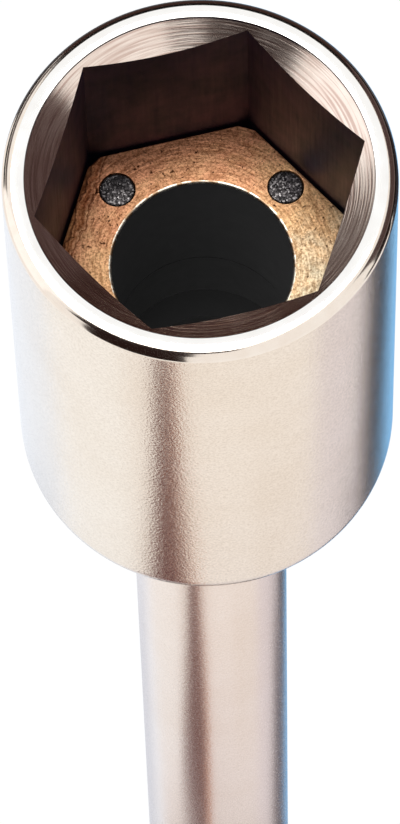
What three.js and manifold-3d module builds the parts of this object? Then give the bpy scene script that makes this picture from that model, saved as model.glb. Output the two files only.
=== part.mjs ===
// Magnetic nut socket on a long round shank, standing on its square-drive end with the hexagon mouth up.
// Millimetres, +Z up. The origin is the middle of the drive end's lower face.
import * as THREE from 'three';
import { mergeVertices } from 'three/addons/utils/BufferGeometryUtils.js';
import Module from 'manifold-3d';

const wasm = await Module();
wasm.setup();

// Socket head
const nutAcrossFlats = 13;
const hexClearance = 0.1;
const headDiameter = 17.7;
const headLength = 29.7;
const rimRound = 0.55;
const rimFlat = 0.5;
const footRound = 2.7;
const leadInAngle = 30;
const nutDepth = 10;

// Magnet carrier
const carrierClearance = 0.12;
const carrierCornerCut = 0.225;
const flangeHeight = 4.5;
const spigotDiameter = 11;
const spigotLength = 4;
const spigotEndGap = 0.3;
const boltDiameter = 8;
const boltClearance = 0.3;
const boltRoomDepth = 3.5;
const boreChamfer = 0.15;

// Magnets
const magnetCount = 4;
const magnetDiameter = 1.6;
const magnetLength = 3;
const magnetWall = 0.18;
const firstMagnetAngle = 32;

// Shank
const shankDiameter = 7.5;
const shankLength = 85.8;
const tenonDiameter = 5.5;
const tenonLength = 7;
const tenonEndGap = 0.4;
const tenonChamfer = 0.5;

// Drive hub
const hubDiameter = 17;
const hubLength = 22;
const hubFootChamfer = 0.8;
const hubShoulderRound = 3;
const driveSquare = 9.525;
const driveClearance = 0.1;
const driveDepth = 11;
const driveMouthChamfer = 1.2;
const detentHeight = 5.2;
const detentRadius = 2;
const detentDepth = 0.7;

// Fits and fineness
const pressGap = 0.05;
const seatGap = 0.02;
const cutOvershoot = 1;
const bodySegments = 72;
const shankSegments = 48;
const magnetSegments = 20;
const detentSegments = 12;
const roundSteps = 6;

// Levels along the axis
const hubTop = hubLength;
const headFoot = hubTop + seatGap + shankLength + seatGap;
const rim = headFoot + headLength;
const carrierFace = rim - nutDepth;
const carrierSeat = carrierFace - flangeHeight;
const hexFloor = carrierSeat - seatGap;
const spigotEnd = carrierSeat - spigotLength;
const spigotBoreFloor = spigotEnd - spigotEndGap;
const boltRoomFloor = spigotBoreFloor - boltRoomDepth;

// Radii that pieces share
const hexAcrossFlats = nutAcrossFlats + hexClearance;
const carrierAcrossFlats = hexAcrossFlats - 2 * carrierClearance;
const magnetCircleRadius = carrierAcrossFlats / 2 - magnetWall - magnetDiameter / 2;
const spigotBoreRadius = spigotDiameter / 2 + pressGap;
const boltRadius = (boltDiameter + boltClearance) / 2;
const tenonBoreRadius = tenonDiameter / 2 + pressGap;

// Outlines

const point = (radius, height) => new THREE.Vector2(radius, height);

// Quarter round of a profile, as points from one angle to another about a centre.
function round(centreRadius, centreHeight, radius, fromDegrees, toDegrees) {
  const points = [];
  for (let step = 0; step <= roundSteps; step++) {
    const angle = THREE.MathUtils.degToRad(fromDegrees + (toDegrees - fromDegrees) * step / roundSteps);
    points.push(point(centreRadius + radius * Math.cos(angle), centreHeight + radius * Math.sin(angle)));
  }
  return points;
}

// Regular outline with one corner on the X axis turned by the given angle.
function polygon(sides, acrossFlats, turnDegrees) {
  const cornerRadius = acrossFlats / 2 / Math.cos(Math.PI / sides);
  const corners = [];
  for (let corner = 0; corner < sides; corner++) {
    const angle = THREE.MathUtils.degToRad(turnDegrees) + corner * 2 * Math.PI / sides;
    corners.push(point(cornerRadius * Math.cos(angle), cornerRadius * Math.sin(angle)));
  }
  return new THREE.Shape(corners);
}

// Solids

// Closed solid of a three.js geometry, with shared corners merged and collapsed triangles left out.
function solidOf(geometry) {
  geometry.deleteAttribute('normal');
  geometry.deleteAttribute('uv');
  const merged = mergeVertices(geometry);
  const corners = merged.index.array;
  const triangles = [];
  for (let i = 0; i < corners.length; i += 3) {
    const [a, b, c] = [corners[i], corners[i + 1], corners[i + 2]];
    if (a !== b && b !== c && c !== a) triangles.push(a, b, c);
  }
  const vertProperties = merged.attributes.position.array;
  return new wasm.Manifold(new wasm.Mesh({ numProp: 3, vertProperties, triVerts: new Uint32Array(triangles) }));
}

// Turned piece: the profile runs counter-clockwise, with the radius across and the height up.
function turned(profile, segments) {
  return solidOf(new THREE.LatheGeometry(profile, segments).rotateX(Math.PI / 2));
}

// Straight prism of an outline between two levels.
function prism(shape, bottom, top) {
  const geometry = new THREE.ExtrudeGeometry(shape, { depth: top - bottom, bevelEnabled: false });
  return solidOf(geometry.translate(0, 0, bottom));
}

function piece(name, solid, material) {
  const { vertProperties, triVerts } = solid.getMesh();
  const geometry = new THREE.BufferGeometry();
  geometry.setAttribute('position', new THREE.BufferAttribute(vertProperties, 3));
  geometry.setIndex(new THREE.BufferAttribute(triVerts, 1));
  geometry.computeVertexNormals();
  const mesh = new THREE.Mesh(geometry, new THREE.MeshStandardMaterial(material));
  mesh.name = name;
  return mesh;
}

const satinNickel = { color: 0xd8cbbf, roughness: 0.38, metalness: 1 };
const turnedBrass = { color: 0xc08a45, roughness: 0.45, metalness: 1 };
const sinteredMagnet = { color: 0x3c3a3c, roughness: 0.7, metalness: 0.6 };

// Head: turned outside and bored through, then broached to a hexagon from the mouth to the carrier's seat.
function socketHead() {
  const radius = headDiameter / 2;
  const leadInRadius = radius - rimRound - rimFlat;
  const leadInDrop = (leadInRadius - spigotBoreRadius) * Math.tan(THREE.MathUtils.degToRad(leadInAngle));
  const profile = [
    point(tenonBoreRadius, headFoot),
    ...round(radius - footRound, headFoot + footRound, footRound, -90, 0),
    ...round(radius - rimRound, rim - rimRound, rimRound, 0, 90),
    point(leadInRadius, rim),
    point(spigotBoreRadius, rim - leadInDrop),
    point(spigotBoreRadius, spigotBoreFloor),
    point(boltRadius, spigotBoreFloor),
    point(boltRadius, boltRoomFloor),
    point(tenonBoreRadius, boltRoomFloor),
    point(tenonBoreRadius, headFoot),
  ];
  const hexagon = prism(polygon(6, hexAcrossFlats, 0), hexFloor, rim + cutOvershoot);
  return turned(profile, bodySegments).subtract(hexagon);
}

// Carrier: a hexagon flange that drops into the broached mouth, on a spigot pressed into the bore below it.
function magnetCarrier() {
  const cornerRadius = carrierAcrossFlats / 2 / Math.cos(Math.PI / 6) - carrierCornerCut;
  const spigotRadius = spigotDiameter / 2;
  const profile = [
    point(boltRadius, spigotEnd),
    point(spigotRadius - boreChamfer, spigotEnd),
    point(spigotRadius, spigotEnd + boreChamfer),
    point(spigotRadius, carrierSeat),
    point(cornerRadius, carrierSeat),
    point(cornerRadius, carrierFace),
    point(boltRadius + boreChamfer, carrierFace),
    point(boltRadius, carrierFace - boreChamfer),
    point(boltRadius, spigotEnd),
  ];
  const flats = polygon(6, carrierAcrossFlats, 0);
  const hexagon = prism(flats, spigotEnd - cutOvershoot, carrierFace + cutOvershoot);
  let solid = turned(profile, bodySegments).intersect(hexagon);
  for (let index = 0; index < magnetCount; index++) {
    const radius = magnetDiameter / 2 + pressGap;
    const floor = carrierFace - magnetLength - seatGap;
    solid = solid.subtract(magnetRod(index, radius, floor, carrierFace + cutOvershoot));
  }
  return solid;
}

// Round rod at one of the magnets' places on their circle.
function magnetRod(index, radius, bottom, top) {
  const profile = [point(0, bottom), point(radius, bottom), point(radius, top), point(0, top)];
  const angle = THREE.MathUtils.degToRad(firstMagnetAngle + index * 360 / magnetCount);
  const geometry = new THREE.LatheGeometry(profile, magnetSegments).rotateX(Math.PI / 2);
  geometry.translate(magnetCircleRadius * Math.cos(angle), magnetCircleRadius * Math.sin(angle), 0);
  return solidOf(geometry);
}

// Shank: round bar with a shouldered tenon at each end, pressed into the head above and the hub below.
function shank() {
  const radius = shankDiameter / 2;
  const tenonRadius = tenonDiameter / 2;
  const bottom = hubTop + seatGap;
  const top = headFoot - seatGap;
  const profile = [
    point(0, bottom - tenonLength),
    point(tenonRadius - tenonChamfer, bottom - tenonLength),
    point(tenonRadius, bottom - tenonLength + tenonChamfer),
    point(tenonRadius, bottom),
    point(radius, bottom),
    point(radius, top),
    point(tenonRadius, top),
    point(tenonRadius, top + tenonLength - tenonChamfer),
    point(tenonRadius - tenonChamfer, top + tenonLength),
    point(0, top + tenonLength),
  ];
  return turned(profile, shankSegments);
}

// Drive hub: turned end piece with a square hole below, dimpled for the ratchet's ball, and a tenon hole above.
function driveHub() {
  const radius = hubDiameter / 2;
  const halfSquare = (driveSquare + driveClearance) / 2;
  const mouthRadius = halfSquare + driveMouthChamfer;
  const mouthFloor = driveMouthChamfer + cutOvershoot;
  const tenonHoleFloor = hubTop - tenonLength - tenonEndGap;
  const profile = [
    point(0, mouthFloor),
    point(mouthRadius - mouthFloor, mouthFloor),
    point(mouthRadius, 0),
    point(radius - hubFootChamfer, 0),
    point(radius, hubFootChamfer),
    ...round(radius - hubShoulderRound, hubTop - hubShoulderRound, hubShoulderRound, 0, 90),
    point(tenonBoreRadius, hubTop),
    point(tenonBoreRadius, tenonHoleFloor),
    point(0, tenonHoleFloor),
  ];
  const square = prism(polygon(4, driveSquare + driveClearance, 45), -cutOvershoot, driveDepth);
  let solid = turned(profile, bodySegments).subtract(square);
  for (let side = 0; side < 4; side++) {
    const dimple = new THREE.SphereGeometry(detentRadius, detentSegments, detentSegments);
    dimple.translate(halfSquare + detentDepth - detentRadius, 0, detentHeight);
    dimple.rotateZ(side * Math.PI / 2);
    solid = solid.subtract(solidOf(dimple));
  }
  return solid;
}

const magneticSocket = new THREE.Group();
magneticSocket.add(piece('drive_hub', driveHub(), satinNickel));
magneticSocket.add(piece('shank', shank(), satinNickel));
magneticSocket.add(piece('socket_head', socketHead(), satinNickel));
magneticSocket.add(piece('magnet_carrier', magnetCarrier(), turnedBrass));
for (let index = 0; index < magnetCount; index++) {
  const rod = magnetRod(index, magnetDiameter / 2, carrierFace - magnetLength, carrierFace);
  magneticSocket.add(piece(`magnet_${index + 1}`, rod, sinteredMagnet));
}

export default magneticSocket;
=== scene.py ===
import math

import bmesh
import bpy
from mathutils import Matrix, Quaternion, Vector


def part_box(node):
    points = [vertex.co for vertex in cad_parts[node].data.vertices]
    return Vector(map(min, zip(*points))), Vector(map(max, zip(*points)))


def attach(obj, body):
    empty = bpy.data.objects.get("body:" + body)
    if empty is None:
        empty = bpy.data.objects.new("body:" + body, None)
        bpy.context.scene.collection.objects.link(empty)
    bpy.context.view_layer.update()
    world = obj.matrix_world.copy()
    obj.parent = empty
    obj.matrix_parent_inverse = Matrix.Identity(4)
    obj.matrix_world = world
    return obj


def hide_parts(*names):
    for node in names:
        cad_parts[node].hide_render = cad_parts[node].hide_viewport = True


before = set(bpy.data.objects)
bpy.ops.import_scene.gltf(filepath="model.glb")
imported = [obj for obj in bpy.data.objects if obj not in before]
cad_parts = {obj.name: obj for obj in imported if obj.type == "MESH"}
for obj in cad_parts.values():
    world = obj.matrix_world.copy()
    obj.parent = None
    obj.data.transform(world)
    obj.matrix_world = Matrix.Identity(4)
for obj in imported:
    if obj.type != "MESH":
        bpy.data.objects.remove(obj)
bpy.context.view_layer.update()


# Drive hub. The end of the tool that a ratchet turns: a short steel body, turned and nickel plated.
# A broached square with ball dimples opens in its foot, and a knurled band lets the fingers spin it.
mm = 0.001
hub_low, hub_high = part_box("drive_hub")
hub_radius = (hub_high.x - hub_low.x) / 2
hub_top = hub_high.z
hub_segments = 144
hub_foot_chamfer = 0.8 * mm
hub_shoulder = 3 * mm
square_side = 9.625 * mm
square_depth = 11 * mm
square_corner = 0.4 * mm
mouth_chamfer = 1.2 * mm
mouth_overcut = 0.5 * mm
foot_margin = 0.2 * mm
dimple_radius = 2 * mm
dimple_depth = 0.7 * mm
dimple_height = 5.2 * mm
knurl_low = 8 * mm
knurl_high = 15 * mm
knurl_cut = 0.16 * mm
knurl_flank = 0.05 * mm
tenon_radius = 2.75 * mm
tenon_length = 7 * mm
tenon_chamfer = 0.5 * mm
press_gap = 0.05 * mm


def arc(centre_radius, centre_height, radius, first, last, steps):
    """Stations (radius, height) round an edge, from one angle to another in degrees."""
    angles = [math.radians(first + (last - first) * i / steps) for i in range(steps + 1)]
    return [(centre_radius + radius * math.cos(a), centre_height + radius * math.sin(a)) for a in angles]


def turned(name, stations, segments):
    """A turned piece: a ring is drawn through the stations of its profile, and open ends are closed."""
    radius, height = stations[0]
    bpy.ops.object.select_all(action="DESELECT")
    bpy.ops.mesh.primitive_circle_add(vertices=segments, radius=radius, location=(0, 0, height))
    bpy.ops.object.transform_apply(location=True, rotation=True, scale=True)
    piece = bpy.context.object
    piece.name = name
    bpy.ops.object.mode_set(mode="EDIT")
    bpy.ops.mesh.select_mode(type="VERT")
    bpy.ops.mesh.select_all(action="SELECT")
    for next_radius, next_height in stations[1:]:
        bpy.ops.mesh.extrude_region()
        growth = next_radius / radius
        bpy.ops.transform.resize(value=(growth, growth, 1), center_override=(0, 0, height))
        bpy.ops.transform.translate(value=(0, 0, next_height - height))
        radius, height = next_radius, next_height
    bpy.ops.mesh.select_all(action="SELECT")
    bpy.ops.mesh.remove_doubles(threshold=1e-6)
    bpy.ops.mesh.fill_holes(sides=0)
    bpy.ops.mesh.select_all(action="SELECT")
    bpy.ops.mesh.normals_make_consistent(inside=False)
    bpy.ops.object.mode_set(mode="OBJECT")
    return piece


def prism(name, sides, across_flats, turn, low, high):
    """A straight bar with a regular outline between two heights, to cut or trim a piece with."""
    radius = across_flats / 2 / math.cos(math.pi / sides)
    middle = (0, 0, (low + high) / 2)
    spin = (0, 0, math.radians(turn))
    bpy.ops.object.select_all(action="DESELECT")
    bpy.ops.mesh.primitive_cylinder_add(vertices=sides, radius=radius, depth=high - low,
                                        location=middle, rotation=spin)
    bpy.ops.object.transform_apply(location=True, rotation=True, scale=True)
    bar = bpy.context.object
    bar.name = name
    return bar


def machine(piece, tool, operation="DIFFERENCE"):
    """Cuts a piece with a tool, or trims it to the tool with INTERSECT, and takes the tool away."""
    boolean = piece.modifiers.new("machining", "BOOLEAN")
    boolean.object = tool
    boolean.operation = operation
    boolean.solver = "EXACT"
    bpy.ops.object.select_all(action="DESELECT")
    bpy.context.view_layer.objects.active = piece
    piece.select_set(True)
    bpy.ops.object.modifier_apply(modifier=boolean.name)
    bpy.data.objects.remove(tool)


def pick(piece, kind, test):
    """Opens a piece for editing and selects the faces or edges whose middle passes a test."""
    bpy.ops.object.select_all(action="DESELECT")
    bpy.context.view_layer.objects.active = piece
    piece.select_set(True)
    bpy.ops.object.mode_set(mode="EDIT")
    bpy.ops.mesh.select_mode(type=kind)
    bpy.ops.mesh.select_all(action="DESELECT")
    mesh = bmesh.from_edit_mesh(piece.data)
    for element in mesh.faces if kind == "FACE" else mesh.edges:
        middle = sum((v.co for v in element.verts), Vector()) / len(element.verts)
        if test(middle, element):
            element.select_set(True)
    bmesh.update_edit_mesh(piece.data)


def close_up(piece, angle=30):
    """Leaves editing and shades a piece smooth, with its edges kept crisp."""
    bpy.context.view_layer.objects.active = piece
    bpy.ops.object.mode_set(mode="OBJECT")
    bpy.ops.object.select_all(action="DESELECT")
    piece.select_set(True)
    bpy.ops.object.shade_smooth_by_angle(angle=math.radians(angle))


def paint(piece, materials, choose):
    """Gives each face the material whose number choose returns for the face's middle and normal."""
    for material in materials:
        piece.data.materials.append(material)
    for face in piece.data.polygons:
        face.material_index = choose(face.center, face.normal)


def new_finish(name):
    """A node material, with its tree, its shader and its Object coordinates."""
    material = bpy.data.materials.new(name)
    material.use_nodes = True
    tree = material.node_tree
    coordinates = tree.nodes.new("ShaderNodeTexCoord").outputs["Object"]
    return material, tree, tree.nodes["Principled BSDF"], coordinates


def noise(tree, vector, scale, detail=2.0, roughness=0.5):
    texture = tree.nodes.new("ShaderNodeTexNoise")
    texture.inputs["Scale"].default_value = scale
    texture.inputs["Detail"].default_value = detail
    texture.inputs["Roughness"].default_value = roughness
    tree.links.new(vector, texture.inputs["Vector"])
    return texture.outputs["Fac"]


def blend(tree, amount, stops):
    """A colour ramp: stops are (place, colour)."""
    ramp = tree.nodes.new("ShaderNodeValToRGB")
    elements = ramp.color_ramp.elements
    for place, colour in stops[2:]:
        elements.new(place)
    for element, (place, colour) in zip(elements, stops):
        element.position = place
        element.color = (*colour, 1)
    tree.links.new(amount, ramp.inputs["Fac"])
    return ramp.outputs["Color"]


def spread(tree, amount, low, high, start=0, end=1):
    """Maps what runs from start to end to the range from low to high."""
    node = tree.nodes.new("ShaderNodeMapRange")
    node.inputs["From Min"].default_value = start
    node.inputs["From Max"].default_value = end
    node.inputs["To Min"].default_value = low
    node.inputs["To Max"].default_value = high
    tree.links.new(amount, node.inputs["Value"])
    return node.outputs["Result"]


def multiplied(tree, colour, marks):
    """A colour darkened by marks."""
    layer = tree.nodes.new("ShaderNodeMix")
    layer.data_type = "RGBA"
    layer.blend_type = "MULTIPLY"
    layer.inputs["Factor"].default_value = 1
    tree.links.new(colour, layer.inputs["A"])
    tree.links.new(marks, layer.inputs["B"])
    return layer.outputs["Result"]


def relief(tree, shader, height, strength, distance):
    bump = tree.nodes.new("ShaderNodeBump")
    bump.inputs["Strength"].default_value = strength
    bump.inputs["Distance"].default_value = distance
    tree.links.new(height, bump.inputs["Height"])
    tree.links.new(bump.outputs["Normal"], shader.inputs["Normal"])


def stretched(tree, vector, scale):
    mapping = tree.nodes.new("ShaderNodeMapping")
    mapping.inputs["Scale"].default_value = scale
    tree.links.new(vector, mapping.inputs["Vector"])
    return mapping.outputs["Vector"]


def satin_nickel(name, dark, light, speck, depth, dullness):
    """Plated steel with a fine pearly grain: warm, with faint clouds between two colours."""
    material, tree, shader, place = new_finish(name)
    clouds = blend(tree, noise(tree, place, scale=220, detail=3), [(0.3, dark), (0.7, light)])
    grain = noise(tree, place, scale=8500, detail=1.5, roughness=0.6)
    specks = blend(tree, grain, [(0.3, (speck, speck * 0.98, speck * 0.96)), (0.62, (1, 1, 1))])
    tree.links.new(multiplied(tree, clouds, specks), shader.inputs["Base Color"])
    shader.inputs["Metallic"].default_value = 1
    tree.links.new(spread(tree, grain, dullness, dullness + 0.08), shader.inputs["Roughness"])
    relief(tree, shader, grain, strength=depth, distance=0.02 * mm)
    return material


def broached_steel(name, dark, light):
    """Bare steel inside a broached hole, in two given colours blotched at random, with fine lines that run
    along the axis.
    """
    material, tree, shader, place = new_finish(name)
    lines = noise(tree, stretched(tree, place, (1, 1, 0.05)), scale=5000, detail=3, roughness=0.65)
    stains = noise(tree, place, scale=520, detail=4, roughness=0.6)
    colour = blend(tree, stains, [(0.35, dark), (0.7, light)])
    tree.links.new(colour, shader.inputs["Base Color"])
    shader.inputs["Metallic"].default_value = 1
    tree.links.new(spread(tree, lines, 0.36, 0.6), shader.inputs["Roughness"])
    relief(tree, shader, lines, strength=0.3, distance=0.02 * mm)
    return material


nickel = satin_nickel("blasted_nickel", dark=(0.855, 0.73, 0.605), light=(0.89, 0.775, 0.66),
                      speck=0.85, depth=0.55, dullness=0.16)
# The square hole's steel is near-black, far darker than the plated outside.
square_steel = broached_steel("square_steel", dark=(0.02, 0.018, 0.018), light=(0.06, 0.05, 0.048))
tenon_bore = tenon_radius + press_gap
mouth_radius = square_side / 2 + mouth_chamfer
mouth_floor = mouth_chamfer + mouth_overcut
hub = turned("drive_hub_turned", [
    (mouth_radius - mouth_floor, mouth_floor),
    (mouth_radius, 0),
    (hub_radius - hub_foot_chamfer, 0),
    (hub_radius, hub_foot_chamfer),
    (hub_radius, knurl_low),
    (hub_radius, knurl_high),
    *arc(hub_radius - hub_shoulder, hub_top - hub_shoulder, hub_shoulder, 0, 90, 14),
    (tenon_bore, hub_top),
    (tenon_bore, hub_top - tenon_length - press_gap),
], hub_segments)
square = prism("square_broach", 4, square_side, 45, -mm, square_depth)
pick(square, "EDGE", lambda middle, edge: abs(edge.verts[0].co.z - edge.verts[1].co.z) > mm)
bpy.ops.mesh.bevel(offset=square_corner, segments=4, affect="EDGES")
bpy.ops.object.mode_set(mode="OBJECT")
machine(hub, square)
dimple_reach = square_side / 2 + dimple_depth - dimple_radius
for side in range(4):
    angle = side * math.pi / 2
    centre = (dimple_reach * math.cos(angle), dimple_reach * math.sin(angle), dimple_height)
    bpy.ops.object.select_all(action="DESELECT")
    bpy.ops.mesh.primitive_uv_sphere_add(segments=32, ring_count=16, radius=dimple_radius, location=centre)
    bpy.ops.object.transform_apply(location=True, rotation=True, scale=True)
    machine(hub, bpy.context.object)
knurl_step = 2 * (2 * math.pi / hub_segments)


def in_knurl_groove(middle, face):
    """Every second facet of the turned side, within the knurled band."""
    on_side = math.hypot(middle.x, middle.y) > hub_radius * 0.98
    turn = math.atan2(middle.y, middle.x) % knurl_step
    return on_side and knurl_low < middle.z < knurl_high and turn < knurl_step / 2


pick(hub, "FACE", in_knurl_groove)
bpy.ops.mesh.inset(thickness=knurl_flank, depth=-knurl_cut, use_individual=True)
close_up(hub)


def inside_hub(middle, normal):
    """1 for the faces of the square hole and the tenon's hole, and 0 for the outside."""
    reach = max(abs(middle.x), abs(middle.y))
    return int(reach < square_side / 2 + dimple_depth and foot_margin < middle.z < hub_top - mm)


paint(hub, [nickel, square_steel], inside_hub)
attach(hub, "root")
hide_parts("drive_hub")


# Shank. A plain ground bar, plated like the head, with a shouldered tenon at each end.
# The tenons are pressed into the hub below and the head above, and the shoulders take the thrust.
shank_low, shank_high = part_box("shank")
shank_radius = (shank_high.x - shank_low.x) / 2
shank_edge = 0.12 * mm
shank_segments = 128
shank_bottom = shank_low.z + tenon_length
shank_top = shank_high.z - tenon_length


def grey(shade):
    return (shade, shade, shade)


def dark_bore(name, low, high):
    """A drilled hole in a near-black grey, painted shade, that runs with height between two given as
    (height, shade), with faint random mottling.
    """
    material, tree, shader, place = new_finish(name)
    split = tree.nodes.new("ShaderNodeSeparateXYZ")
    tree.links.new(place, split.inputs["Vector"])
    rise = spread(tree, split.outputs["Z"], 0, 1, start=low[0], end=high[0])
    # Painted shade, graded with height.
    painted_depth_shade = blend(tree, rise, [(0, grey(low[1])), (1, grey(high[1]))])
    crust = noise(tree, place, scale=1500, detail=3)
    spots = blend(tree, crust, [(0.3, grey(0.9)), (0.7, grey(1))])
    tree.links.new(multiplied(tree, painted_depth_shade, spots), shader.inputs["Base Color"])
    tree.links.new(spread(tree, crust, 0.7, 0.9), shader.inputs["Roughness"])
    shader.inputs["Specular IOR Level"].default_value = 0.1
    return material


shank = turned("shank_bar", [
    (tenon_radius - tenon_chamfer, shank_low.z),
    (tenon_radius, shank_low.z + tenon_chamfer),
    (tenon_radius, shank_bottom),
    *arc(shank_radius - shank_edge, shank_bottom + shank_edge, shank_edge, -90, 0, 4),
    *arc(shank_radius - shank_edge, shank_top - shank_edge, shank_edge, 0, 90, 4),
    (tenon_radius, shank_top),
    (tenon_radius, shank_high.z - tenon_chamfer),
    (tenon_radius - tenon_chamfer, shank_high.z),
], shank_segments)
close_up(shank)
ground_nickel = satin_nickel("ground_nickel", dark=(0.83, 0.70, 0.61), light=(0.86, 0.74, 0.66),
                             speck=0.93, depth=0.3, dullness=0.22)
# The holes' floors take a flat near-black grey, painted shade.
drill_floor = dark_bore("drill_floor", low=(shank_top, 0.034), high=(shank_high.z, 0.034))
paint(shank, [ground_nickel, drill_floor], lambda middle, normal: int(middle.z > shank_top + mm))
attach(shank, "root")
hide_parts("shank")


# Socket head. Bar steel, turned to a rounded foot and a polished lip, bored and then broached to a hexagon.
# The lead-in still shows the lathe's rings under its plating, and the hexagon's walls are bare steel,
# painted near-black as shade.
head_low, head_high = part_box("socket_head")
head_radius = (head_high.x - head_low.x) / 2
rim = head_high.z
foot = head_low.z
rim_round = 0.55 * mm
rim_flat = 0.5 * mm
foot_round = 2.7 * mm
head_segments = 240
lead_in_slope = math.tan(math.radians(30))
lip_break = 0.05 * mm
lip_step = 0.15 * mm
hexagon_flats = 13.1 * mm
spigot_radius = 5.5 * mm
bolt_radius = 4.15 * mm
flange_height = 4.5 * mm
bolt_room_depth = 3.8 * mm
carrier_low, carrier_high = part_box("magnet_carrier")
hexagon_floor = carrier_high.z - flange_height
spigot_bore = spigot_radius + press_gap
spigot_floor = carrier_low.z - press_gap
bolt_floor = carrier_low.z - bolt_room_depth
lead_in_radius = head_radius - rim_round - rim_flat


def ring_marks(tree, vector, across, along):
    """Coordinates that run across and along the rings that a lathe leaves about the axis."""
    split = tree.nodes.new("ShaderNodeSeparateXYZ")
    tree.links.new(vector, split.inputs["Vector"])
    flat = tree.nodes.new("ShaderNodeCombineXYZ")
    tree.links.new(split.outputs["X"], flat.inputs["X"])
    tree.links.new(split.outputs["Y"], flat.inputs["Y"])
    radius = tree.nodes.new("ShaderNodeVectorMath")
    radius.operation = "LENGTH"
    tree.links.new(flat.outputs["Vector"], radius.inputs[0])
    turn = tree.nodes.new("ShaderNodeVectorMath")
    turn.operation = "NORMALIZE"
    tree.links.new(flat.outputs["Vector"], turn.inputs[0])
    wide = tree.nodes.new("ShaderNodeVectorMath")
    wide.operation = "SCALE"
    wide.inputs["Scale"].default_value = along
    tree.links.new(turn.outputs["Vector"], wide.inputs[0])
    fine = tree.nodes.new("ShaderNodeMath")
    fine.operation = "MULTIPLY"
    fine.inputs[1].default_value = across
    tree.links.new(radius.outputs["Value"], fine.inputs[0])
    joined = tree.nodes.new("ShaderNodeCombineXYZ")
    parts = tree.nodes.new("ShaderNodeSeparateXYZ")
    tree.links.new(wide.outputs["Vector"], parts.inputs["Vector"])
    tree.links.new(parts.outputs["X"], joined.inputs["X"])
    tree.links.new(parts.outputs["Y"], joined.inputs["Y"])
    tree.links.new(fine.outputs["Value"], joined.inputs["Z"])
    return joined.outputs["Vector"]


def polished_nickel():
    """The lip, buffed bright after plating."""
    material, tree, shader, place = new_finish("polished_nickel")
    smears = noise(tree, place, scale=900, detail=2)
    colour = blend(tree, smears, [(0.3, (0.92, 0.90, 0.87)), (0.7, (0.96, 0.95, 0.93))])
    tree.links.new(colour, shader.inputs["Base Color"])
    shader.inputs["Metallic"].default_value = 1
    tree.links.new(spread(tree, smears, 0.05, 0.09), shader.inputs["Roughness"])
    return material


def bright_nickel():
    """The rounded edge outside the lip: plated, and rubbed brighter than the body."""
    material, tree, shader, place = new_finish("bright_nickel")
    smears = noise(tree, place, scale=1400, detail=3)
    colour = blend(tree, smears, [(0.3, (0.86, 0.75, 0.65)), (0.7, (0.91, 0.82, 0.73))])
    tree.links.new(colour, shader.inputs["Base Color"])
    shader.inputs["Metallic"].default_value = 1
    tree.links.new(spread(tree, smears, 0.08, 0.16), shader.inputs["Roughness"])
    return material


def turned_lead_in():
    """The conical mouth, with the lathe's rings under thin plating."""
    material, tree, shader, place = new_finish("turned_lead_in")
    rings = noise(tree, ring_marks(tree, place, across=11000, along=2.2), scale=1, detail=1.5)
    smears = noise(tree, place, scale=600, detail=3)
    colour = blend(tree, smears, [(0.3, (0.82, 0.67, 0.58)), (0.7, (0.92, 0.80, 0.71))])
    streaks = blend(tree, rings, [(0.34, (0.70, 0.61, 0.59)), (0.55, (1, 1, 1))])
    tree.links.new(multiplied(tree, colour, streaks), shader.inputs["Base Color"])
    shader.inputs["Metallic"].default_value = 1
    tree.links.new(spread(tree, smears, 0.12, 0.22), shader.inputs["Roughness"])
    relief(tree, shader, rings, strength=0.42, distance=0.02 * mm)
    return material


head = turned("socket_head_turned", [
    (tenon_bore, foot),
    *arc(head_radius - foot_round, foot + foot_round, foot_round, -90, 0, 18),
    *arc(head_radius - rim_round, rim - rim_round, rim_round, 0, 90, 10),
    *arc(lead_in_radius + lip_break, rim - lip_break, lip_break, 90, 180, 4),
    (lead_in_radius, rim - lip_step),
    (spigot_bore, rim - lip_step - (lead_in_radius - spigot_bore) * lead_in_slope),
    (spigot_bore, spigot_floor),
    (bolt_radius, spigot_floor),
    (bolt_radius, bolt_floor),
    (tenon_bore, bolt_floor),
    (tenon_bore, foot),
], head_segments)
machine(head, prism("hexagon_broach", 6, hexagon_flats, 30, hexagon_floor, rim + mm))
close_up(head)
body, lip, edge, lead_in, wall, bore, floor = range(7)
edge_depth = rim_round * 0.9
lip_margin = 0.01 * mm
floor_margin = 0.1 * mm


def head_zone(middle, normal):
    """The number of the finish that a face of the head takes, by its place."""
    radius = math.hypot(middle.x, middle.y)
    if radius > lead_in_radius:
        outside = edge if middle.z > rim - edge_depth else body
        return lip if middle.z > rim - lip_margin else outside
    if middle.z < foot + floor_margin:
        return body
    if middle.z < hexagon_floor + floor_margin:
        return floor if normal.z > 0.5 else bore
    return lead_in if normal.z > 0.5 else wall


# Painted shade: the hexagon's walls in near-black colours, blotched at random, with a blue tint that
# offsets the yellow light the brass throws on them.
hexagon_steel_painted_shade = broached_steel("hexagon_steel_painted_shade", dark=(0.011, 0.016, 0.042), light=(0.068, 0.040, 0.078))
# The bore's grey is painted lighter towards its bottom, where less light reaches, and darker at the mouth,
# so that the hole reads evenly black: painted light against its shade.
drilled = dark_bore("drilled_bore", low=(bolt_floor, 0.2), high=(carrier_high.z, 0.07))
head_finishes = [nickel, polished_nickel(), bright_nickel(), turned_lead_in(),
                 hexagon_steel_painted_shade, drilled, drill_floor]
paint(head, head_finishes, head_zone)
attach(head, "root")
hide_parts("socket_head")


# Magnet carrier. A brass bush: a hexagon flange, faced on a lathe, on a spigot pressed into the head.
# The bolt passes through its bore, and blind holes in its face hold the magnets.
carrier_face = carrier_high.z
carrier_flats = 12.86 * mm
carrier_corner = 7.2 * mm
bore_chamfer = 0.15 * mm
bore_edge = 0.12 * mm
carrier_edge = 0.08 * mm
carrier_segments = 192
outer_reach = 6.3 * mm
pocket_radius = 0.85 * mm
pocket_segments = 48
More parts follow.
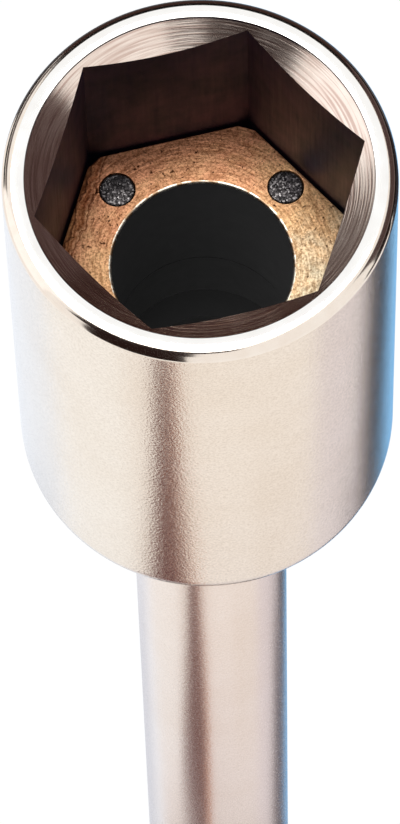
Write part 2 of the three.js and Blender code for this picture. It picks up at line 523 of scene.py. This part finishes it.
# The direction and span of the brass's painted light: paler towards the front right, where the light falls,
# and browner towards the back, in the walls' shade.
painted_light_side = (0.255, -0.964)
painted_light_span = 12 * mm
chipped_flat = (-0.866, 0.5)
chips_start = 6.1
chips_end = 7.0
magnet_names = ["magnet_1", "magnet_2", "magnet_3", "magnet_4"]


def distance_along(tree, vector, direction, unit):
    """How far a point lies from the axis along a level direction, in the given unit."""
    product = tree.nodes.new("ShaderNodeVectorMath")
    product.operation = "DOT_PRODUCT"
    product.inputs[1].default_value = (direction[0] / unit, direction[1] / unit, 0)
    tree.links.new(vector, product.inputs[0])
    return product.outputs["Value"]


def added(tree, first, second):
    total = tree.nodes.new("ShaderNodeMath")
    total.operation = "ADD"
    tree.links.new(first, total.inputs[0])
    tree.links.new(second, total.inputs[1])
    return total.outputs["Value"]


def turned_brass():
    """Brass faced on a lathe, with rings, grain and small pits, painted pale in front where the light falls
    and brown at the back in the walls' shade, with a random film mixed in. The edge of one flat is chipped,
    as from pressing in."""
    material, tree, shader, place = new_finish("turned_brass")
    rings = noise(tree, ring_marks(tree, place, across=7000, along=6), scale=1, detail=3, roughness=0.65)
    film = noise(tree, place, scale=700, detail=4, roughness=0.6)
    # Painted light across the face, from brown in shade to pale in light, plus the random film.
    painted_light_and_film = added(tree, distance_along(tree, place, painted_light_side, painted_light_span), film)
    colour = blend(tree, painted_light_and_film, [
        (0.05, (0.88, 0.43, 0.24)),
        (0.5, (0.98, 0.64, 0.34)),
        (0.95, (0.88, 0.84, 0.64)),
    ])
    grain = blend(tree, noise(tree, place, scale=9500, detail=2, roughness=0.7),
                  [(0.33, (0.44, 0.37, 0.32)), (0.60, (1, 1, 1))])
    pits = blend(tree, noise(tree, place, scale=3800, detail=2, roughness=0.7),
                 [(0.29, (0.14, 0.10, 0.08)), (0.35, (1, 1, 1))])
    streaks = blend(tree, rings, [(0.36, (0.62, 0.56, 0.50)), (0.56, (1, 1, 1))])
    ragged = added(tree, distance_along(tree, place, chipped_flat, mm),
                   noise(tree, place, scale=1300, detail=3, roughness=0.6))
    chips = blend(tree, spread(tree, ragged, 0, 1, start=chips_start, end=chips_end), [
        (0.1, (1, 1, 1)),
        (0.22, (0.30, 0.20, 0.15)),
        (0.30, (1, 1, 1)),
        (0.45, (0.50, 0.36, 0.28)),
        (0.62, (0.95, 0.85, 0.75)),
        (0.72, (0.16, 0.11, 0.09)),
        (0.85, (0.6, 0.5, 0.4)),
    ])
    for marks in (grain, pits, streaks, chips):
        colour = multiplied(tree, colour, marks)
    tree.links.new(colour, shader.inputs["Base Color"])
    shader.inputs["Metallic"].default_value = 1
    tree.links.new(spread(tree, film, 0.48, 0.68), shader.inputs["Roughness"])
    relief(tree, shader, rings, strength=0.7, distance=0.03 * mm)
    return material


def bore_edge_painted_highlight():
    """The edge of the bore, painted near-white as a highlight, broken into brown patches."""
    material, tree, shader, place = new_finish("bore_edge_painted_highlight")
    highlight_patches = noise(tree, place, scale=2600, detail=3)
    # Brown patches and near-white: a painted highlight on the bore's edge.
    colour = blend(tree, highlight_patches, [(0.42, (0.42, 0.27, 0.16)), (0.56, (1, 0.94, 0.80))])
    tree.links.new(colour, shader.inputs["Base Color"])
    shader.inputs["Metallic"].default_value = 1
    shader.inputs["Roughness"].default_value = 0.42
    return material


carrier = turned("magnet_carrier_turned", [
    (bolt_radius, carrier_low.z),
    (spigot_radius - bore_chamfer, carrier_low.z),
    (spigot_radius, carrier_low.z + bore_chamfer),
    (spigot_radius, carrier_face - flange_height),
    (carrier_corner, carrier_face - flange_height),
    (carrier_corner, carrier_face),
    *arc(bolt_radius + bore_edge, carrier_face - bore_edge, bore_edge, 90, 180, 4),
    (bolt_radius, carrier_low.z),
], carrier_segments)
hexagon_bar = prism("hexagon_bar", 6, carrier_flats, 30, carrier_low.z - mm, carrier_face + mm)
machine(carrier, hexagon_bar, "INTERSECT")


def copied(piece, name, x, y):
    """A copy of a piece, with a mesh of its own, moved level from the axis to its place."""
    bpy.ops.object.select_all(action="DESELECT")
    bpy.context.view_layer.objects.active = piece
    piece.select_set(True)
    bpy.ops.object.duplicate()
    bpy.ops.transform.translate(value=(x, y, 0))
    bpy.ops.object.transform_apply(location=True, rotation=True, scale=True)
    copy = bpy.context.object
    copy.name = name
    return copy


magnet_low, magnet_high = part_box("magnet_1")
drill_stations = [(pocket_radius, magnet_low.z), (pocket_radius, magnet_high.z + mm)]
drill = turned("magnet_drill", drill_stations, pocket_segments)
for name in magnet_names:
    low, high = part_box(name)
    machine(carrier, copied(drill, name + "_drill", (low.x + high.x) / 2, (low.y + high.y) / 2))
bpy.data.objects.remove(drill)


def on_outer_edge(middle, edge):
    """The edges between the carrier's face and its six flats and corners."""
    on_face = all(vertex.co.z > carrier_face - 1e-6 for vertex in edge.verts)
    outside = math.hypot(middle.x, middle.y) > outer_reach
    if not (on_face and outside and edge.is_manifold):
        return False
    return min(face.normal.z for face in edge.link_faces) < 0.5


pick(carrier, "EDGE", on_outer_edge)
bpy.ops.mesh.bevel(offset=carrier_edge, segments=2, affect="EDGES")
close_up(carrier)
brass, bright_edge, carrier_bore = range(3)


def carrier_zone(middle, normal):
    """The number of the finish that a face of the carrier takes."""
    reach = math.hypot(middle.x, middle.y)
    if reach < bolt_radius * 1.002 and abs(normal.z) < 0.1:
        return carrier_bore
    return bright_edge if reach < bolt_radius + bore_edge and 0.1 < normal.z < 0.99 else brass


paint(carrier, [turned_brass(), bore_edge_painted_highlight(), drilled], carrier_zone)
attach(carrier, "root")
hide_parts("magnet_carrier")


# Magnets. Four small sintered rods, all alike, pressed flush into blind holes in the carrier's face.
# Their ground ends are grainy and dark, with bright spots.
magnet_radius = 0.8 * mm
magnet_edge = 0.08 * mm
magnet_segments = 48


def sintered_magnet():
    """Dark sintered grains, some of which catch the light."""
    material, tree, shader, place = new_finish("sintered_magnet")
    cells = tree.nodes.new("ShaderNodeTexVoronoi")
    cells.inputs["Scale"].default_value = 13000
    tree.links.new(place, cells.inputs["Vector"])
    split = tree.nodes.new("ShaderNodeSeparateColor")
    tree.links.new(cells.outputs["Color"], split.inputs["Color"])
    grains = split.outputs["Red"]
    colour = blend(tree, grains, [
        (0.2, (0.02, 0.018, 0.018)),
        (0.7, (0.10, 0.09, 0.09)),
        (0.97, (0.42, 0.39, 0.38)),
    ])
    tree.links.new(colour, shader.inputs["Base Color"])
    shader.inputs["Metallic"].default_value = 0.9
    tree.links.new(spread(tree, split.outputs["Green"], 0.25, 0.6), shader.inputs["Roughness"])
    relief(tree, shader, split.outputs["Blue"], strength=0.6, distance=0.03 * mm)
    return material


rod = turned("magnet_rod", [
    (magnet_radius, magnet_low.z),
    *arc(magnet_radius - magnet_edge, magnet_high.z - magnet_edge, magnet_edge, 0, 90, 4),
], magnet_segments)
close_up(rod)
paint(rod, [sintered_magnet()], lambda middle, normal: 0)
for name in magnet_names:
    low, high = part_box(name)
    magnet = copied(rod, name + "_rod", (low.x + high.x) / 2, (low.y + high.y) / 2)
    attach(magnet, "root")
    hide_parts(name)
bpy.data.objects.remove(rod)


# Table. A wide pale sheet that the tool stands on. It reads white to the camera and in the metal,
# and keeps a faint shadow.
table_side = 6
table_shade = 0.8
table_glow = 1.02
table_white = 0.9


def stage_finish(name, colour, strength):
    """A flat colour that shines evenly and isn't sampled as a lamp."""
    material = bpy.data.materials.new(name)
    material.use_nodes = True
    tree = material.node_tree
    tree.nodes.remove(tree.nodes["Principled BSDF"])
    glow = tree.nodes.new("ShaderNodeEmission")
    glow.inputs["Color"].default_value = (*colour, 1)
    glow.inputs["Strength"].default_value = strength
    tree.links.new(glow.outputs["Emission"], tree.nodes["Material Output"].inputs["Surface"])
    material.cycles.emission_sampling = "NONE"
    return material


bpy.ops.object.select_all(action="DESELECT")
bpy.ops.mesh.primitive_plane_add(size=table_side)
table = bpy.context.object
table.name = "table"


def seen_directly(tree):
    """1 for rays from the camera, from gloss and through glass, and 0 for the rest."""
    rays = tree.nodes.new("ShaderNodeLightPath")
    total = rays.outputs["Is Camera Ray"]
    for name in ("Is Glossy Ray", "Is Transmission Ray"):
        larger = tree.nodes.new("ShaderNodeMath")
        larger.operation = "MAXIMUM"
        tree.links.new(total, larger.inputs[0])
        tree.links.new(rays.outputs[name], larger.inputs[1])
        total = larger.outputs["Value"]
    return total


def mixed(tree, share, first, second):
    """Blends two shaders by a share and makes the result the surface."""
    both = tree.nodes.new("ShaderNodeMixShader")
    tree.links.new(share, both.inputs["Fac"])
    tree.links.new(first, both.inputs[1])
    tree.links.new(second, both.inputs[2])
    tree.links.new(both.outputs["Shader"], tree.nodes["Material Output"].inputs["Surface"])


def table_finish():
    """White to the camera and in the metal, apart from a small share that takes light and shadow."""
    material = stage_finish("table_sheet", (1, 1, 1), table_glow)
    tree = material.node_tree
    sheet = tree.nodes.new("ShaderNodeBsdfDiffuse")
    sheet.inputs["Color"].default_value = (*grey(table_shade), 1)
    share = tree.nodes.new("ShaderNodeMath")
    share.operation = "MULTIPLY"
    share.inputs[1].default_value = table_white
    tree.links.new(seen_directly(tree), share.inputs[0])
    glow = tree.nodes["Emission"].outputs["Emission"]
    mixed(tree, share.outputs["Value"], sheet.outputs["BSDF"], glow)
    return material


table.data.materials.append(table_finish())


# Cards. Coloured card, laid and hung round the tool, for the metal to mirror and nothing else to see.
# Laid: pale sheets and a brown ribbon in front, blue ones behind, dark ones between, and a dark collar
# whose mirror image is painted shadow under the head and above the hub.
# Hung: dark screens behind, at the right and in front, and a bright one at the left.
camera_turn = math.radians(-12)
screen_reach = 0.6
screen_foot = -13


def bearing(turn):
    """Level direction that many degrees to the right of the camera's, seen from the axis."""
    angle = camera_turn + math.radians(turn)
    return Vector((math.sin(angle), -math.cos(angle), 0))


def card(name, colour, place):
    """A thin card that only gloss can see; place gives a point for its two coordinates from 0 to 1."""
    bpy.ops.object.select_all(action="DESELECT")
    bpy.ops.mesh.primitive_grid_add(x_subdivisions=24, y_subdivisions=12, size=1)
    sheet = bpy.context.object
    sheet.name = name
    for vertex in sheet.data.vertices:
        vertex.co = place(vertex.co.x + 0.5, vertex.co.y + 0.5)
    sheet.data.materials.append(stage_finish(name + "_paper", colour, 1))
    sheet.visible_camera = False
    sheet.visible_diffuse = False
    sheet.visible_shadow = False
    sheet.visible_transmission = False
    return sheet


def between(ends, share):
    return ends[0] + (ends[1] - ends[0]) * share


def laid(name, colour, turns, reaches, height):
    """A level card between two bearings in degrees and two distances from the axis in mm, at a height."""
    lift = Vector((0, 0, height * mm))
    return card(name, colour, lambda u, v: bearing(between(turns, u)) * between(reaches, v) * mm + lift)


def open_below(sheet):
    """Lets gloss look up through a laid card, so that only what stands over it mirrors it."""
    tree = sheet.data.materials[0].node_tree
    from_above = tree.nodes.new("ShaderNodeNewGeometry").outputs["Backfacing"]
    clear = tree.nodes.new("ShaderNodeBsdfTransparent").outputs["BSDF"]
    mixed(tree, from_above, clear, tree.nodes["Emission"].outputs["Emission"])


def hung(name, colour, turns, rises):
    """A curved screen round the mouth, between two bearings and two heights in degrees."""
    centre = Vector((0, 0, rim))

    def place(u, v):
        rise = math.radians(between(rises, v))
        direction = bearing(between(turns, u)) * math.cos(rise) + Vector((0, 0, math.sin(rise)))
        return centre + direction * screen_reach

    card(name, colour, place)


def ribbon(name, colour, middle, height):
    """A strip on the table through points given as (right, towards the camera, width)."""
    right = bearing(90)
    near = bearing(0)

    def place(u, v):
        step = min(int(u * (len(middle) - 1)), len(middle) - 2)
        share = u * (len(middle) - 1) - step
        across, along, width = [between(ends, share) for ends in zip(middle[step], middle[step + 1])]
        return (right * (across + (v - 0.5) * width) + near * along + Vector((0, 0, height))) * mm

    card(name, colour, place)


ribbon_line = [
    (-17.5, 18, 20),
    (-18.5, 40, 19),
    (-19, 46, 17.5),
    (-24, 52, 13),
    (-27.5, 64, 12),
    (-34, 90, 14),
]
fringe_shift = 1.4
fringe_growth = 3.6
fringe_line = [(right + fringe_shift, near, width + fringe_growth) for right, near, width in ribbon_line]
laid("near_sheet", (0.90, 0.885, 0.92), turns=(-95, 98), reaches=(9, 46), height=0.15)
laid("left_back_near_sheet", (0.74, 0.82, 0.95), turns=(-180, -112), reaches=(10, 46), height=0.3)
laid("left_near_sheet", (0.98, 1.02, 1.06), turns=(-95, -40), reaches=(30, 46), height=0.2)
laid("right_front_sheet", (0.91, 0.88, 0.86), turns=(26, 62), reaches=(38, 58), height=0.2)
laid("left_front_sheet", (1.06, 1.10, 1.13), turns=(-95, -44), reaches=(46, 140), height=0.2)
laid("left_sheet", (0.97, 1.07, 1.21), turns=(-180, -95), reaches=(10, 140), height=0.2)
laid("right_sheet", (0.83, 0.81, 0.88), turns=(62, 100), reaches=(10, 140), height=0.2)
laid("dark_edge", (0.03, 0.03, 0.04), turns=(100, 130), reaches=(46, 600), height=0.3)
laid("dark_near_edge", (0.08, 0.075, 0.10), turns=(94, 128), reaches=(10, 46), height=0.3)
laid("blue_sheet", (0.30, 0.68, 1.15), turns=(129, 180), reaches=(10, 140), height=0.3)
laid("back_sheet", (0.10, 0.10, 0.11), turns=(127, 225), reaches=(140, 600), height=0.3)
laid("right_far_sheet", (0.05, 0.035, 0.03), turns=(76, 98), reaches=(240, 600), height=0.3)
laid("front_far_sheet", (0.02, 0.012, 0.01), turns=(-52, -8), reaches=(180, 600), height=0.3)
ribbon("brown_fringe", (0.66, 0.33, 0.22), fringe_line, height=0.4)
ribbon("brown_ribbon", (0.12, 0.035, 0.035), ribbon_line, height=0.5)
# The dark collar round the shank, mirrored in the head's rounded foot and the shank's foot, is a painted
# shadow line under the head and a painted contact shadow above the hub.
open_below(laid("painted_shadow_collar", (0.05, 0.03, 0.025), turns=(-180, 180), reaches=(4, 12), height=22.1))
hung("back_screen_low", (0.046, 0.025, 0.022), turns=(147, 208), rises=(screen_foot, 22))
hung("back_screen_high", (0.009, 0.008, 0.008), turns=(147, 208), rises=(22, 48))
hung("right_low_screen", (0.012, 0.008, 0.008), turns=(81, 147), rises=(screen_foot, 6))
hung("right_middle_screen", (0.20, 0.16, 0.155), turns=(81, 147), rises=(6, 11))
hung("right_screen", (0.080, 0.052, 0.051), turns=(81, 147), rises=(11, 50))
hung("left_back_low_screen", (0.012, 0.008, 0.008), turns=(-152, -113), rises=(screen_foot, 5))
hung("left_back_screen", (0.13, 0.11, 0.107), turns=(-152, -113), rises=(9, 27))
hung("left_glow", (1.22, 1.22, 1.24), turns=(-112, -73), rises=(screen_foot, 84))
hung("dark_low", (0.020, 0.010, 0.009), turns=(-52, -8), rises=(screen_foot, 25))
hung("dark_middle", (0.020, 0.010, 0.009), turns=(-62, -5), rises=(25, 55))
hung("dark_high", (0.020, 0.010, 0.009), turns=(-72, 18), rises=(55, 84))


# Light. A bright even room for the metal to mirror, and one broad soft lamp over the tool.
# The lamp hangs a little to the left and to the back, and the room lights dull surfaces less than it shows.
room_seen = 1
room_fill = 0.8
lamp_distance = 0.6
lamp_direction = Vector((-0.1, 0.05, 1)).normalized()
lamp_side = 0.35
lamp_power = 1.75
world = bpy.data.worlds.new("studio")
bpy.context.scene.world = world
world.use_nodes = True
world.cycles.sampling_method = "NONE"
room = world.node_tree.nodes["Background"]
room.inputs["Color"].default_value = (1, 1, 1, 1)
brightness = spread(world.node_tree, seen_directly(world.node_tree), room_fill, room_seen)
world.node_tree.links.new(brightness, room.inputs["Strength"])
bpy.ops.object.light_add(type="AREA", location=lamp_direction * lamp_distance)
lamp = bpy.context.object
lamp.name = "soft_lamp"
lamp.data.size = lamp_side
lamp.data.energy = lamp_power
lamp.rotation_euler = lamp_direction.to_track_quat("Z", "Y").to_euler()


# Camera. It looks steeply down on the mouth from in front, from far off, leaning a little.
# Its distance and aim are given in diameters of the head.
frame_height = 824
focal_pixels = 8000
head_diameter = 2 * head_radius
camera_rise = math.radians(67.5)
camera_distance = 21.5 * head_diameter
aim_below_rim = 1.548 * head_diameter
aim_left = 0.018 * head_diameter
camera_lean = math.radians(-1.8)
bpy.ops.object.camera_add()
camera = bpy.context.object
outward = bearing(0) * math.cos(camera_rise) + Vector((0, 0, math.sin(camera_rise)))
aim = Vector((0, 0, rim - aim_below_rim)) - bearing(90) * aim_left
camera.location = aim + outward * camera_distance
camera.rotation_mode = "QUATERNION"
camera.rotation_quaternion = outward.to_track_quat("Z", "Y") @ Quaternion((0, 0, 1), camera_lean)
camera.data.lens = focal_pixels / frame_height * camera.data.sensor_width
camera.data.clip_end = 10
bpy.context.scene.camera = camera
bpy.context.scene.view_settings.view_transform = "Standard"
